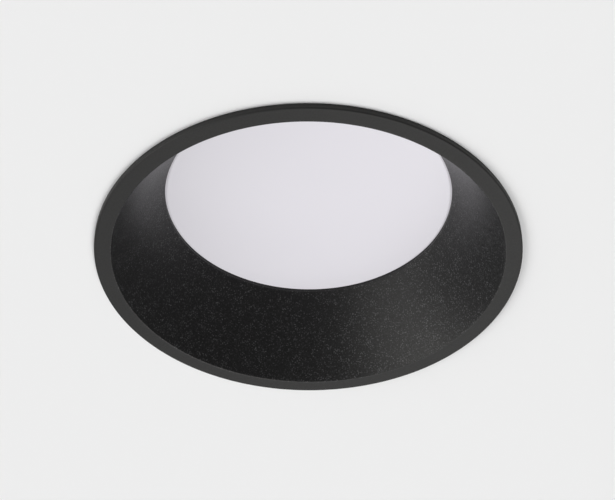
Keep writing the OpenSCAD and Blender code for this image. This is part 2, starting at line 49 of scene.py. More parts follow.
# ------------------------------------------------------------------ sizes, in mm
fr, edge, face_w, lip_drop = 82.5, 2.6, 6.7, 0.22
lr = fr - face_w
lz = -(edge + lip_drop)
half = math.radians(30.1)
bt = math.tan(half)
za = 30.0
ra = lr - (za - lz - 0.25) * bt


def cone_r(z):
    return lr - (z - lz - 0.25) * bt


def cone_o(z):
    return cone_r(z) + 2.7


sr = fr - 5.6
ztop = za + 5.5
rs = ra + 10.2
boss_r = ra + 9.6
skirt_in = sr - 1.8
skirt_root = (lr + 2.7 - skirt_in) / bt + lz + 0.25
lip_c = cone_r(lz) + 0.4 * (1 - math.sin(half)) / math.cos(half)
z_dif = za + 0.7
z_rim = za + 5
xp = ra + 8.2
px = xp + 5.5
pz = za - 2
z_top = za + 23.0
b_in = z_top + 2.2
b_top = z_top + 27.0
pcb_top = b_in + 4.4


# ------------------------------------------------------------------ materials
def socket(node, *names):
    for n in names:
        if n in node.inputs:
            return node.inputs[n]
    raise KeyError(names)


class Surface:
    """A principled material with helpers for procedural colour, roughness and relief."""

    def __init__(self, name, color=(0.5, 0.5, 0.5), rough=0.5, metal=0.0, spec=0.5):
        self.m = bpy.data.materials.new(name)
        self.m.use_nodes = True
        self.t = self.m.node_tree
        self.t.nodes.clear()
        self.out = self.t.nodes.new("ShaderNodeOutputMaterial")
        self.b = self.t.nodes.new("ShaderNodeBsdfPrincipled")
        self.t.links.new(self.b.outputs[0], self.out.inputs[0])
        self.b.inputs["Base Color"].default_value = (*color, 1)
        self.b.inputs["Roughness"].default_value = rough
        self.b.inputs["Metallic"].default_value = metal
        socket(self.b, "Specular IOR Level").default_value = spec
        self.coord = self.t.nodes.new("ShaderNodeTexCoord")
        self.bump_from = None

    def link(self, a, b):
        self.t.links.new(a, b)

    def new(self, kind, **props):
        n = self.t.nodes.new(kind)
        for k, v in props.items():
            setattr(n, k, v)
        return n

    def at(self, scale=(1, 1, 1), rot=(0, 0, 0), loc=(0, 0, 0), src="Object"):
        n = self.new("ShaderNodeMapping")
        n.inputs["Scale"].default_value = scale
        n.inputs["Rotation"].default_value = rot
        n.inputs["Location"].default_value = loc
        self.link(self.coord.outputs[src], n.inputs["Vector"])
        return n.outputs[0]

    def noise(self, size, detail=2.0, rough=0.5, vec=None, distortion=0.0):
        """Noise with features about size mm across."""
        n = self.new("ShaderNodeTexNoise")
        n.inputs["Scale"].default_value = 1000.0 / size
        n.inputs["Detail"].default_value = detail
        n.inputs["Roughness"].default_value = rough
        n.inputs["Distortion"].default_value = distortion
        self.link(vec if vec is not None else self.coord.outputs["Object"], n.inputs["Vector"])
        return n.outputs["Fac"]

    def cells(self, size, vec=None, feature="F1", randomness=1.0):
        n = self.new("ShaderNodeTexVoronoi", feature=feature)
        n.inputs["Scale"].default_value = 1000.0 / size
        n.inputs["Randomness"].default_value = randomness
        self.link(vec if vec is not None else self.coord.outputs["Object"], n.inputs["Vector"])
        return n.outputs["Distance"]

    def dots(self, size, lo, hi, share, ragged=0.0):
        """Scattered dots: one spot in each of a share of cells about size mm across."""
        n = self.new("ShaderNodeTexVoronoi", feature="F1")
        n.inputs["Scale"].default_value = 1000.0 / size
        if ragged:
            stir = self.new("ShaderNodeTexNoise")
            stir.inputs["Scale"].default_value = 1000.0 / (size * 0.45)
            stir.inputs["Detail"].default_value = 2.0
            self.link(self.coord.outputs["Object"], stir.inputs["Vector"])
            shift = self.new("ShaderNodeVectorMath", operation="MULTIPLY_ADD")
            shift.inputs[1].default_value = (ragged * size * MM,) * 3
            self.link(stir.outputs["Color"], shift.inputs[0])
            self.link(self.coord.outputs["Object"], shift.inputs[2])
            self.link(shift.outputs[0], n.inputs["Vector"])
        else:
            self.link(self.coord.outputs["Object"], n.inputs["Vector"])
        part = self.new("ShaderNodeSeparateColor")
        self.link(n.outputs["Color"], part.inputs[0])
        return self.math("MULTIPLY", self.ramp(n.outputs["Distance"], hi, lo), self.ramp(part.outputs[0], 1 - share - 0.08, 1 - share + 0.08))

    def ramp(self, fac, lo, hi, a=0.0, b=1.0):
        n = self.new("ShaderNodeMapRange")
        n.clamp = True
        n.inputs["From Min"].default_value = lo
        n.inputs["From Max"].default_value = hi
        n.inputs["To Min"].default_value = a
        n.inputs["To Max"].default_value = b
        self.link(fac, n.inputs["Value"])
        return n.outputs[0]

    def math(self, op, a, b=None):
        n = self.new("ShaderNodeMath", operation=op)
        for i, v in enumerate((a, b)):
            if v is None:
                continue
            if isinstance(v, (int, float)):
                n.inputs[i].default_value = v
            else:
                self.link(v, n.inputs[i])
        return n.outputs[0]

    def mix(self, fac, a, b):
        """Colour mix; a and b are colours or sockets."""
        n = self.new("ShaderNodeMix", data_type="RGBA")
        self.link(fac, n.inputs["Factor"]) if not isinstance(fac, (int, float)) else setattr(
            n.inputs["Factor"], "default_value", fac)
        for key, v in (("A", a), ("B", b)):
            s = [i for i in n.inputs if i.name == key and i.type == "RGBA"][0]
            if isinstance(v, (tuple, list)):
                s.default_value = (*v[:3], 1)
            else:
                self.link(v, s)
        return [o for o in n.outputs if o.type == "RGBA"][0]

    def color(self, s):
        self.link(s, self.b.inputs["Base Color"])
        return self

    def rough(self, s):
        self.link(s, self.b.inputs["Roughness"])
        return self

    def bump(self, height, depth_mm, strength=1.0):
        """Adds relief: depth_mm is the height of a full 0 to 1 step."""
        n = self.new("ShaderNodeBump")
        n.inputs["Strength"].default_value = strength
        n.inputs["Distance"].default_value = depth_mm * MM
        self.link(height, n.inputs["Height"])
        if self.bump_from is not None:
            self.link(self.bump_from, n.inputs["Normal"])
        self.bump_from = n.outputs[0]
        self.link(self.bump_from, self.b.inputs["Normal"])
        return self

    def axis(self, name):
        n = self.new("ShaderNodeSeparateXYZ")
        self.link(self.coord.outputs["Object"], n.inputs[0])
        return n.outputs[name]


def shades(c, k):
    return tuple(min(1.0, x * k) for x in c)


def powder_coat(name, base, grain=0.55, depth=0.035, rough=0.5, spec=0.4, glint_gain=1.6, variation=0.12):
    """Fine-textured powder coat: a dense pebble relief, its crests painted lighter as a painted highlight, and slow
    tone drift.
    """
    s = Surface(name, base, rough, 0.0, spec)
    fine = s.noise(grain, 2.0, 0.6)
    cell = s.cells(grain * 1.7)
    # painted highlight: the crests of the pebble relief get a lighter colour
    crest = s.math("MULTIPLY", s.ramp(fine, 0.42, 0.72), s.ramp(cell, 0.55, 0.15))
    slow = s.noise(38.0, 3.0, 0.55)
    c = s.mix(s.ramp(fine, 0.3, 0.75), shades(base, 1 - variation), shades(base, 1 + variation))
    c = s.mix(s.ramp(slow, 0.3, 0.7, 0.0, 0.35), c, shades(base, 1.25))
    c = s.mix(crest, c, shades(base, glint_gain))
    s.color(c)
    s.rough(s.ramp(fine, 0.3, 0.75, rough + 0.09, rough - 0.08))
    s.bump(s.noise(grain * 3.2, 2.0, 0.5), depth * 1.2, 0.5)
    s.bump(fine, depth, 0.8)
    return s.m


def moulded(name, base, rough=0.45, grain=0.5, depth=0.012, spec=0.45, variation=0.1):
    """Injection-moulded plastic or cast rubber: faint orange peel and slight tone drift."""
    s = Surface(name, base, rough, 0.0, spec)
    fine = s.noise(grain, 3.0, 0.55)
    slow = s.noise(14.0, 2.0, 0.5)
    s.color(s.mix(s.ramp(slow, 0.3, 0.7), shades(base, 1 - variation), shades(base, 1 + variation)))
    s.rough(s.ramp(s.noise(3.0, 3.0), 0.3, 0.7, rough - 0.06, rough + 0.08))
    s.bump(fine, depth, 0.7)
    return s.m


def drawn_metal(name, base, rough=0.3, along="X", streak=0.25, tint=None, depth=0.004):
    """Rolled or drawn metal: streaks along one axis, stains and a soft tint."""
    s = Surface(name, base, rough, 1.0, 0.5)
    k = {"X": (0.04, 1, 1), "Y": (1, 0.04, 1), "Z": (1, 1, 0.04)}[along]
    lines = s.noise(streak, 3.0, 0.6, s.at(k))
    stain = s.noise(6.0, 4.0, 0.6)
    c = s.mix(s.ramp(lines, 0.25, 0.75), shades(base, 0.82), shades(base, 1.08))
    if tint:
        c = s.mix(s.ramp(stain, 0.42, 0.7, 0.0, 0.55), c, tint)
    s.color(c)
    s.rough(s.ramp(s.math("ADD", lines, s.math("MULTIPLY", stain, 0.5)), 0.4, 1.1, rough - 0.08, rough + 0.14))
    s.bump(lines, depth, 0.6)
    return s.m


def turned_metal(name, base, rough=0.28, depth=0.005):
    """Machined or headed screws and pins: fine random scratches and slight dirt."""
    s = Surface(name, base, rough, 1.0, 0.5)
    fine = s.noise(0.22, 4.0, 0.65)
    dirt = s.noise(1.6, 3.0, 0.6)
    s.color(s.mix(s.ramp(dirt, 0.35, 0.7), shades(base, 0.72), shades(base, 1.04)))
    s.rough(s.ramp(fine, 0.3, 0.7, rough - 0.07, rough + 0.13))
    s.bump(fine, depth, 0.6)
    return s.m


M = {}


def trim_coat(base):
    """Powder coat that is coarse in the baffle, with glints painted on as bright speckle, and satin smooth on the
    flange's face.
    """
    s = Surface("trim_powder_coat", base, 0.5, 0.0, 0.38)
    length = s.new("ShaderNodeVectorMath", operation="LENGTH")
    flat = s.new("ShaderNodeVectorMath", operation="MULTIPLY")
    flat.inputs[1].default_value = (1, 1, 0)
    s.link(s.coord.outputs["Object"], flat.inputs[0])
    s.link(flat.outputs[0], length.inputs[0])
    # 0 on the baffle's inner face, 1 on the flange and the whole outside
    from_cone = s.math("ADD", length.outputs["Value"], s.math("MULTIPLY", s.axis("Z"), bt))
    cone_c = lr + (lz + 0.25) * bt
    face = s.ramp(from_cone, (cone_c + 0.15) * MM, (cone_c + 0.55) * MM)
    above = s.ramp(s.axis("Z"), -0.0005, 0.0005, 0.0, 0.4)
    fine = s.noise(0.62, 2.0, 0.65)
    slow = s.noise(38.0, 3.0, 0.55)
    # baffle colour: lighter where the pebble relief is high, partly the coat's grain and partly a painted highlight;
    # the scattered bright dots below are painted glints off the pebble
    rough_c = s.mix(s.ramp(fine, 0.36, 0.64), shades(base, 0.45), shades(base, 1.2))
    clump = s.ramp(s.noise(3.4, 2.0, 0.5), 0.36, 0.6, 0.3, 1.0)
    rough_c = s.mix(s.math("MULTIPLY", s.dots(0.72, 0.2, 0.42, 0.72, 1.1), clump), rough_c, shades(base, 7.6))
    satin_c = s.mix(s.ramp(fine, 0.3, 0.75), shades(base, 0.72), shades(base, 0.84))
    c = s.mix(face, rough_c, satin_c)
    s.color(s.mix(s.ramp(slow, 0.35, 0.7, 0.0, 0.3), c, shades(base, 1.2)))
    s.rough(s.math("ADD", s.ramp(fine, 0.3, 0.7, 0.47, 0.37), s.ramp(face, 0, 1, 0.0, 0.15)))
    s.b.inputs["Specular Tint"].default_value = (1.0, 0.985, 0.95, 1)
    depth = s.math("MAXIMUM", s.ramp(face, 0, 1, 1.0, 0.15), above)
    s.bump(s.math("MULTIPLY", s.noise(1.9, 2.0, 0.5), depth), 0.05, 0.6)
    s.bump(s.math("MULTIPLY", fine, depth), 0.08, 0.9)
    return s.m


M["trim"] = trim_coat((0.0148, 0.0148, 0.0152))
M["heat_sink"] = powder_coat("heat_sink_coat", (0.036, 0.037, 0.0395), 0.8, 0.02, 0.38, 0.5, 1.3, 0.12)
M["box"] = powder_coat("box_powder_coat", (0.027, 0.0275, 0.029), 1.1, 0.07, 0.42, 0.5, 1.35, 0.1)


def foam(name, base):
    s = Surface(name, base, 0.92, 0.0, 0.2)
    pores = s.cells(0.7)
    # painted shade: the pits of the pores are coloured darker
    s.color(s.mix(s.ramp(pores, 0.1, 0.6), shades(base, 0.45), shades(base, 1.25)))
    s.bump(pores, 0.2, 0.9)
    return s.m


M["foam"] = foam("gasket_foam", (0.05, 0.05, 0.052))
M["black_rubber"] = moulded("black_rubber", (0.022, 0.022, 0.023), 0.62, 0.35, 0.02, 0.35)
M["gland_rubber"] = moulded("gland_rubber", (0.07, 0.07, 0.074), 0.6, 0.3, 0.02, 0.35)
M["silicone"] = moulded("silicone_seal", (0.42, 0.42, 0.405), 0.45, 0.8, 0.01, 0.4)
M["thermal"] = moulded("thermal_sheet", (0.3, 0.42, 0.52), 0.7, 0.25, 0.02, 0.3)
M["white_plastic"] = moulded("white_cup", (0.86, 0.86, 0.85), 0.4, 1.0, 0.008, 0.45, 0.02)
M["ivory"] = moulded("ivory_plastic", (0.52, 0.495, 0.41), 0.38, 0.8, 0.01, 0.5, 0.04)
M["epoxy"] = moulded("black_epoxy", (0.022, 0.022, 0.024), 0.42, 0.3, 0.012, 0.5)
M["blue"] = moulded("blue_dip", (0.02, 0.12, 0.42), 0.28, 1.2, 0.03, 0.55, 0.12)
M["polyamide"] = moulded("black_polyamide", (0.02, 0.0205, 0.022), 0.44, 0.7, 0.016, 0.45)
M["acetal"] = moulded("grey_acetal", (0.3, 0.3, 0.31), 0.4, 0.5, 0.01, 0.45)
M["ferrite"] = moulded("ferrite", (0.05, 0.05, 0.05), 0.6, 0.25, 0.03, 0.4, 0.2)
M["zinc"] = drawn_metal("zinc_plate", (0.41, 0.418, 0.43), 0.38, "X", 0.3, (0.43, 0.4, 0.325))
M["zinc_y"] = drawn_metal("zinc_plate_bracket", (0.4, 0.408, 0.42), 0.38, "Y", 0.3, (0.42, 0.39, 0.32))
M["steel"] = turned_metal("stainless_fasteners", (0.62, 0.63, 0.64), 0.27)
M["zinc_screw"] = turned_metal("zinc_fasteners", (0.56, 0.56, 0.54), 0.33)
M["green_screw"] = turned_metal("earth_fastener", (0.16, 0.42, 0.18), 0.35)
M["brass"] = turned_metal("brass", (0.68, 0.5, 0.2), 0.3)
M["spring"] = turned_metal("spring_wire", (0.5, 0.51, 0.53), 0.26)


def opal():
    s = Surface("opal_acrylic", (0.385, 0.373, 0.401), 0.38, 0.0, 0.5)
    # painted glow: an even emission over the whole face stands in for room light scattered back out of the sheet, and
    # evens out the baffle's shade on it
    s.b.inputs["Emission Color"].default_value = (0.97, 0.95, 1.0, 1)
    s.b.inputs["Emission Strength"].default_value = 0.39
    slow = s.noise(60.0, 2.0, 0.5)
    fine = s.noise(0.5, 2.0, 0.5)
    c = s.mix(s.ramp(slow, 0.3, 0.7), (0.379, 0.367, 0.395), (0.391, 0.379, 0.407))
    s.color(c)
    s.rough(s.ramp(fine, 0.3, 0.7, 0.36, 0.42))
    s.bump(fine, 0.004, 0.5)
    return s.m


M["opal"] = opal()


def clear_rubber():
    s = Surface("clear_rubber", (0.42, 0.43, 0.42), 0.34, 0.0, 0.5)
    s.b.inputs["IOR"].default_value = 1.41
    fine = s.noise(1.6, 2.0, 0.5)
    dust = s.noise(2.2, 4.0, 0.6)
    s.color(s.mix(s.ramp(dust, 0.35, 0.7), (0.34, 0.35, 0.345), (0.44, 0.45, 0.44)))
    s.rough(s.ramp(dust, 0.3, 0.7, 0.3, 0.46))
    s.bump(fine, 0.01, 0.6)
    return s.m


M["clear"] = clear_rubber()


def circuit_board(name, base, line, via):
    """Solder mask over copper: straight tracks both ways, a few pours and a scatter of plated holes."""
    s = Surface(name, base, 0.3, 0.0, 0.5)

    def tracks(along, across, pitch, length, wide, amount):
        u = s.math("MULTIPLY", s.axis(across), 1000.0 / pitch)
        line_at = s.math("ABSOLUTE", s.math("SUBTRACT", s.math("FRACT", u), 0.5))
        vec = s.new("ShaderNodeCombineXYZ")
        s.link(s.math("MULTIPLY", s.axis(along), 1000.0 / length), vec.inputs[0])
        s.link(s.math("MULTIPLY", s.math("FLOOR", u), 3.71), vec.inputs[1])
        n = s.new("ShaderNodeTexNoise")
        n.inputs["Scale"].default_value = 1.0
        n.inputs["Detail"].default_value = 0.0
        s.link(vec.outputs[0], n.inputs["Vector"])
        return s.math("MULTIPLY", s.ramp(line_at, wide + 0.04, wide - 0.04), s.ramp(n.outputs["Fac"], amount, amount + 0.01))

    copper = s.math("MAXIMUM", tracks("X", "Y", 1.9, 9.0, 0.2, 0.52), tracks("Y", "X", 2.4, 8.0, 0.16, 0.55))
    copper = s.math("MAXIMUM", copper, tracks("X", "Y", 9.0, 13.0, 0.36, 0.58))
    c = s.mix(copper, base, line)
    c = s.mix(s.ramp(s.noise(9.0, 3.0), 0.35, 0.7, 0.0, 0.3), c, shades(base, 1.3))
    c = s.mix(s.dots(2.6, 0.13, 0.16, 0.3), c, via)
    s.color(c)
    s.rough(s.ramp(s.noise(2.0, 3.0), 0.3, 0.7, 0.24, 0.38))
    s.bump(copper, 0.035, 0.8)
    return s.m


def banded(name, base, other, rough, axis, edges, spec=0.5, grain=0.5, metal=False):
    """Moulded part whose colour changes past given places along one axis: (from, to) in mm."""
    s = Surface(name, base, rough, 0.0, spec)
    x = s.axis(axis)
    mask = None
    for a, b in edges:
        k = s.math("MULTIPLY", s.ramp(x, (a - 0.02) * MM, (a + 0.02) * MM), s.ramp(x, (b + 0.02) * MM, (b - 0.02) * MM))
        mask = k if mask is None else s.math("MAXIMUM", mask, k)
    fine = s.noise(grain, 3.0, 0.55)
    c = s.mix(mask, base, other)
    s.color(s.mix(s.ramp(s.noise(5.0, 3.0), 0.3, 0.75, 0.0, 0.25), c, shades(base, 0.6)))
    s.rough(s.ramp(fine, 0.3, 0.7, rough - 0.06, rough + 0.08))
    if metal:
        s.link(mask, s.b.inputs["Metallic"])
    s.bump(fine, 0.012, 0.6)
    return s.m


def wound_tape():
    """Polyester tape round the coil, with lapped edges."""
    s = Surface("winding_tape", (0.72, 0.5, 0.05), 0.3, 0.0, 0.5)
    z = s.axis("Z")
    lap = s.math("FRACT", s.math("MULTIPLY", z, 1000.0 / 3.1))
    edge_line = s.math("MAXIMUM", s.ramp(lap, 0.06, 0.0), s.ramp(lap, 0.96, 1.0))
    wrinkle = s.noise(1.6, 3.0, 0.6, s.at((1, 1, 3.0)))
    c = s.mix(s.ramp(wrinkle, 0.3, 0.7), (0.62, 0.41, 0.03), (0.8, 0.58, 0.08))
    s.color(s.mix(edge_line, c, (0.34, 0.2, 0.02)))
    s.rough(s.ramp(wrinkle, 0.3, 0.7, 0.22, 0.36))
    s.bump(wrinkle, 0.05, 0.6)
    s.bump(edge_line, -0.05, 0.8)
    return s.m


def enamelled_copper():
    s = Surface("copper_enamel", (0.62, 0.2, 0.06), 0.28, 0.85, 0.5)
    fine = s.noise(0.5, 3.0, 0.6)
    s.color(s.mix(s.ramp(fine, 0.3, 0.7), (0.5, 0.13, 0.035), (0.7, 0.25, 0.08)))
    s.rough(s.ramp(fine, 0.3, 0.7, 0.2, 0.34))
    s.bump(fine, 0.006, 0.6)
    return s.m


M["pcb"] = circuit_board("driver_solder_mask", (0.008, 0.07, 0.026), (0.016, 0.135, 0.05), (0.55, 0.55, 0.52))
M["led_pcb"] = circuit_board("led_solder_mask", (0.74, 0.75, 0.74), (0.82, 0.83, 0.82), (0.5, 0.5, 0.46))
M["phosphor"] = moulded("led_phosphor", (0.83, 0.64, 0.13), 0.34, 0.3, 0.01, 0.5, 0.06)
M["tape"] = wound_tape()
M["copper"] = enamelled_copper()
M["sleeve"] = moulded("capacitor_sleeve", (0.016, 0.022, 0.05), 0.3, 0.9, 0.01, 0.5)
M["stripe"] = moulded("capacitor_stripe", (0.42, 0.44, 0.47), 0.32, 0.9, 0.01, 0.5)
M["can"] = turned_metal("capacitor_can", (0.55, 0.55, 0.56), 0.42)
M["fuse"] = banded("fuse_ceramic", (0.76, 0.74, 0.68), (0.5, 0.5, 0.49), 0.3, "X", [(-7, -4.5), (3.5, 6)], metal=True)
M["leads"] = banded("led_lead_insulation", (0.022, 0.022, 0.023), (0.5, 0.025, 0.02), 0.4, "X", [(0, 4)])
M["toroid"] = moulded("toroid_coat", (0.06, 0.17, 0.1), 0.4, 0.4, 0.02, 0.5)
M["earth_green"] = moulded("earth_green", (0.03, 0.26, 0.045), 0.36, 0.5, 0.006, 0.5)
M["earth_yellow"] = moulded("earth_yellow", (0.82, 0.66, 0.03), 0.36, 0.5, 0.006, 0.5)

# ------------------------------------------------------------------ mesh helpers


def build(name, verts, faces, mat, body=None, smooth=35.0, replaces=(), mats=None, scale=MM):
    me = bpy.data.meshes.new(name)
    me.from_pydata([tuple(float(x) * scale for x in v) for v in verts], [], [tuple(int(i) for i in f) for f in faces])
    return finish_mesh(name, me, mat, body, smooth, replaces, mats)


def finish_mesh(name, me, mat, body, smooth, replaces, mats=None):
    me.validate()
    for m in (mats or [mat]):
        me.materials.append(m)
    me.polygons.foreach_set("use_smooth", [True] * len(me.polygons))
    if smooth:
        me.set_sharp_from_angle(angle=math.radians(smooth))
    me.update()
    o = bpy.data.objects.new(name, me)
    bpy.context.scene.collection.objects.link(o)
    if body:
        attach(o, body)
    if replaces:
        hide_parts(*replaces)
    return o


def rounded(points, seg=5):
    """Closed profile; each point is (r, z, fillet radius)."""
    out, n = [], len(points)
    P = [np.array(p[:2], float) for p in points]
    for i, p in enumerate(P):
        q = points[i][2] if len(points[i]) > 2 else 0.0
        a, b = P[i - 1], P[(i + 1) % n]
        if q <= 0:
            out.append(p)
            continue
        u, v = a - p, b - p
        la, lb = np.linalg.norm(u), np.linalg.norm(v)
        u, v = u / la, v / lb
        ang = math.acos(max(-1.0, min(1.0, float(u @ v))))
        if ang > math.radians(178):
            out.append(p)
            continue
        d = min(q / math.tan(ang / 2), 0.48 * la, 0.48 * lb)
        rr = d * math.tan(ang / 2)
        c = p + (u + v) / np.linalg.norm(u + v) * rr / math.sin(ang / 2)
        s, e = p + u * d, p + v * d
        a0, a1 = math.atan2(*(s - c)[::-1]), math.atan2(*(e - c)[::-1])
        da = (a1 - a0 + math.pi) % (2 * math.pi) - math.pi
        for k in range(seg + 1):
            t = a0 + da * k / seg
            out.append(c + rr * np.array([math.cos(t), math.sin(t)]))
    return out


def supported(profile, closed=True, near=0.35, longer=1.6):
    """Adds a point close to both ends of each long straight, which keeps flats flat when shaded."""
    out, n = [], len(profile)
    for i in range(n):
        p = np.array(profile[i])
        out.append(p)
        if not closed and i == n - 1:
            break
        q = np.array(profile[(i + 1) % n])
        l = np.linalg.norm(q - p)
        if l > longer:
            out += [p + (q - p) * near / l, q - (q - p) * near / l]
    return out


def lathe(profile, n=256, closed=True, z_axis=True):
    """Vertices and quads of a profile turned about Z."""
    m = len(profile)
    prof = np.array(profile, float)
    verts = []
    for i in range(n):
        a = 2 * math.pi * i / n
        c, s = math.cos(a), math.sin(a)
        verts += [(r * c, r * s, z) for r, z in prof]
    faces = []
    for i in range(n):
        k = (i + 1) % n
        for j in range(m if closed else m - 1):
            l = (j + 1) % m
            faces.append((i * m + j, k * m + j, k * m + l, i * m + l))
    return verts, faces


def tidy(me, dist=1e-7):
    bm = bmesh.new()
    bm.from_mesh(me)
    bmesh.ops.remove_doubles(bm, verts=bm.verts, dist=dist)
    bmesh.ops.dissolve_degenerate(bm, edges=bm.edges, dist=dist)
    bmesh.ops.recalc_face_normals(bm, faces=bm.faces)
    bm.to_mesh(me)
    bm.free()


def raw(name, verts, faces, scale=MM):
    me = bpy.data.meshes.new(name)
    me.from_pydata([tuple(float(x) * scale for x in v) for v in verts], [], [tuple(int(i) for i in f) for f in faces])
    tidy(me)
    return me


def joined(name, parts):
    """One mesh out of several."""
    bm = bmesh.new()
    for me in parts:
        bm.from_mesh(me)
    out = bpy.data.meshes.new(name)
    bm.to_mesh(out)
    bm.free()
    return out


def boolean(me, op, cutter):
    a = bpy.data.objects.new("tmp_a", me)
    b = bpy.data.objects.new("tmp_b", cutter)
    for o in (a, b):
        bpy.context.scene.collection.objects.link(o)
    mod = a.modifiers.new("b", "BOOLEAN")
    mod.operation, mod.object, mod.solver = op, b, "EXACT"
    if hasattr(mod, "use_self"):
        mod.use_self = False
    dg = bpy.context.evaluated_depsgraph_get()
    dg.update()
    out = bpy.data.meshes.new_from_object(a.evaluated_get(dg))
    for o in (a, b):
        bpy.data.objects.remove(o)
    return out


def box_mesh(x0, y0, z0, x1, y1, z1):
    v = [(x, y, z) for x in (x0, x1) for y in (y0, y1) for z in (z0, z1)]
    f = [(0, 1, 3, 2), (4, 6, 7, 5), (0, 4, 5, 1), (2, 3, 7, 6), (0, 2, 6, 4), (1, 5, 7, 3)]
    return raw("box", v, f)


def rod_mesh(profile, n, m4):
    """Closed lathe profile that touches the axis at both ends, moved by a matrix in mm."""
    v, f = lathe(profile, n, closed=False)
    me = raw("rod", v, f)
    m = Matrix(m4)
    m.translation = m.translation * MM
    me.transform(m)
    return me


def place(x=0.0, y=0.0, z=0.0, rx=0.0, ry=0.0, rz=0.0):
    return Matrix.Translation((x, y, z)) @ Matrix.Rotation(math.radians(rz), 4, "Z") @ Matrix.Rotation(
        math.radians(ry), 4, "Y") @ Matrix.Rotation(math.radians(rx), 4, "X")


# ------------------------------------------------------------------ trim casting
profile = rounded([
    (fr, 0, 0.25), (fr, -edge, 0.75), (cone_r(lz), lz, 0.42),
    (ra, za, 0.3), (ra, za + 1.6, 0.12), (ra + 4.2, za + 1.6, 0.15), (ra + 4.2, ztop, 0.2),
    (ra + 5, ztop, 0.12), (ra + 5, ztop - 1, 0.1), (ra + 6.8, ztop - 1, 0.1), (ra + 6.8, ztop, 0.12),
    (rs, ztop, 0.35), (rs, ztop - 4, 0.3), (rs - 0.4, ztop - 4.4),
    (cone_o(za - 3.5), za - 3.5, 2.0), (skirt_in, skirt_root, 1.0), (skirt_in, 8, 0.3), (sr, 8, 0.5), (sr, 0),
    (sr + 1.1, 0, 0.1), (sr + 1.1, -1.2, 0.1), (fr - 1.3, -1.2, 0.1), (fr - 1.3, 0, 0.15),
], 6)
profile = supported(profile)
v, f = lathe(profile, 360)
trim = raw("trim_lathe", v, f)

add, cut, flats = [], [], []
for a in (45, 135, 225, 315):
    m = place(rz=a) @ place(boss_r)
    add.append(rod_mesh(rounded([(0, za - 10), (1.6, za - 10, 0.5), (4.4, za - 6, 1.5), (4.4, ztop, 0.3), (0, ztop)], 4), 48, m))
    cut.append(rod_mesh([(0, za - 3), (2, za - 2), (2, ztop + 5), (0, ztop + 5)], 40, m))
for s in (-1, 1):
    x0, x1 = sorted((s * (xp - 5), s * (xp + 1)))
    add.append(box_mesh(x0, -15.5, za - 9.0, x1, 15.5, za + 4.2))
    x0, x1 = sorted((s * xp, s * (xp + 10)))
    flats.append(box_mesh(x0, -19.0, za - 9.2, x1, 19.0, za + 12))
    for y in (-14, 14):
        cut.append(rod_mesh([(0, -0.8), (1.5, 0), (1.5, 10), (0, 10)], 32, place(s * (xp - 4.8), y, pz + 0.5, ry=s * 90)))
# the pads and bosses stay out of the baffle and of the bore above it
keep_out = rod_mesh([(0, -12), (cone_r(-12) + 0.4, -12), (ra + 0.4, za), (ra + 4.25, za + 1.6), (ra + 7.1, ztop - 1.3), (ra + 7.1, ztop + 6), (0, ztop + 6)], 180, place())
trim = boolean(trim, "UNION", boolean(joined("bosses", add), "DIFFERENCE", keep_out))
trim = boolean(trim, "DIFFERENCE", joined("flats", flats))
trim = boolean(trim, "DIFFERENCE", joined("holes", cut))
tidy(trim)
trim_obj = finish_mesh("trim_casting", trim, M["trim"], "housing", 32, ("trim",))

# ------------------------------------------------------------------ gasket and diffuser
g = supported(rounded([(sr + 1.15, -1.2, 0.1), (fr - 1.35, -1.2, 0.1), (fr - 1.35, 0, 0.3), (sr + 1.15, 0, 0.3)], 4))
v, f = lathe(g, 256)
finish_mesh("gasket_ring", raw("gasket_ring", v, f), M["foam"], "housing", 40, ("soffit_gasket",))

d = rounded([(0, z_dif), (ra - 0.3, z_dif, 0.9), (ra - 0.3, z_dif + 2.1, 0.2), (ra + 3.9, z_dif + 2.1, 0.15), (ra + 3.9, z_rim, 0.3),
             (ra - 2.2, z_rim, 0.3), (ra - 2.2, z_dif + 2.2, 0.6), (0, z_dif + 2.2)], 6)
# rings every few millimetres across the flat faces
flat = []
for a, b in zip(d[:-1], d[1:]):
    a, b = np.array(a), np.array(b)
    k = max(1, int(abs(b[0] - a[0]) / 8))
    flat += [a + (b - a) * i / k for i in range(k)]
flat.append(np.array(d[-1]))
v, f = lathe(flat, 256, closed=False)
finish_mesh("opal_diffuser", raw("opal_diffuser", v, f), M["opal"], "housing", 35, ("diffuser",))


# ------------------------------------------------------------------ torsion springs
def tube(points, r, sides=14, taper=0.25):
    p = np.array(points, float)
    t = np.gradient(p, axis=0)
    t /= np.linalg.norm(t, axis=1)[:, None]
    ref = np.array([0, 1.0, 0])
    if abs(t[0] @ ref) > 0.9:
        ref = np.array([1.0, 0, 0])
    u = np.cross(t[0], ref)
    u /= np.linalg.norm(u)
    us = [u]
    for i in range(1, len(p)):
        ax = np.cross(t[i - 1], t[i])
        n = np.linalg.norm(ax)
        if n > 1e-12:
            ax /= n
            ang = math.atan2(n, float(t[i - 1] @ t[i]))
            u = us[-1]
            u = u * math.cos(ang) + np.cross(ax, u) * math.sin(ang) + ax * (ax @ u) * (1 - math.cos(ang))
        us.append(u / np.linalg.norm(u))
    rings = [(p[0], us[0], t[0], r - taper), (p[0] + t[0] * taper, us[0], t[0], r)]
    rings += [(p[i], us[i], t[i], r) for i in range(1, len(p) - 1)]
    rings += [(p[-1] - t[-1] * taper, us[-1], t[-1], r), (p[-1], us[-1], t[-1], r - taper)]
    verts, faces, uvs = [], [], []
    for c, uu, tt, rr in rings:
        w = np.cross(tt, uu)
        for k in range(sides):
            a = 2 * math.pi * k / sides
            verts.append(c + rr * (math.cos(a) * uu + math.sin(a) * w))
    n = len(rings)
    for i in range(n - 1):
        for k in range(sides):
            a, b = i * sides + k, i * sides + (k + 1) % sides
            faces.append((a, b, b + sides, a + sides))
    faces.append(tuple(range(sides))[::-1])
    faces.append(tuple((n - 1) * sides + k for k in range(sides)))
    return verts, faces


